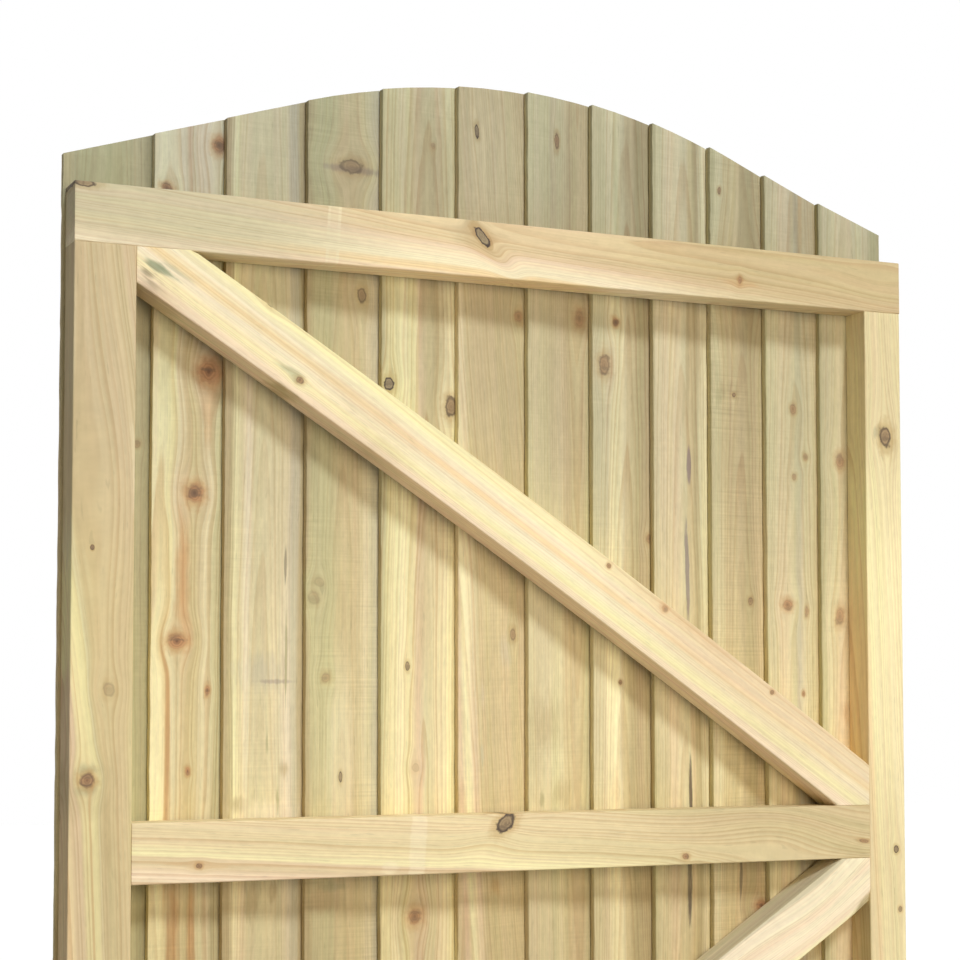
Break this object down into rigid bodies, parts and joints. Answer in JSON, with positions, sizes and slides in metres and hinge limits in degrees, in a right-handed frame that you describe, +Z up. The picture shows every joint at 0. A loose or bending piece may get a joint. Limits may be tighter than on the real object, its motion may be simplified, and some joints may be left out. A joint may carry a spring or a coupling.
{
  "type": "arch top garden gate leaf",
  "caption": "Arch top wooden garden gate leaf: lapped feather-edge boards on a framed and braced back, to hang from its wider stile.",
  "frame": {"origin": "middle of the hanging stile's outer edge face, half-way up the frame and half-way through its thickness", "axes": "+Z up, +X across the leaf from the hanging stile to the closing stile, -Y towards the framed side, so the boards are on +Y"},
  "size_m": [1.184, 0.0766, 1.8007],
  "materials": {
    "framing_timber": "planed pressure-treated softwood, pale tan with a faint green tint, eased arrises",
    "feather_edge_board": "fine-sawn pressure-treated softwood, greenish tan, matt",
    "galvanised_nail": "dull galvanised"
  },
  "bodies": {
    "root": {"top_rail": "framing_timber", "mid_rail": "framing_timber", "bottom_rail": "framing_timber", "hanging_stile": "framing_timber", "closing_stile": "framing_timber", "upper_brace": "framing_timber", "lower_brace": "framing_timber", "board_01": "feather_edge_board", "board_02": "feather_edge_board", "board_03": "feather_edge_board", "board_04": "feather_edge_board", "board_05": "feather_edge_board", "board_06": "feather_edge_board", "board_07": "feather_edge_board", "board_08": "feather_edge_board", "board_09": "feather_edge_board", "board_10": "feather_edge_board", "board_11": "feather_edge_board", "board_12": "feather_edge_board"}
  },
  "joints": []
}
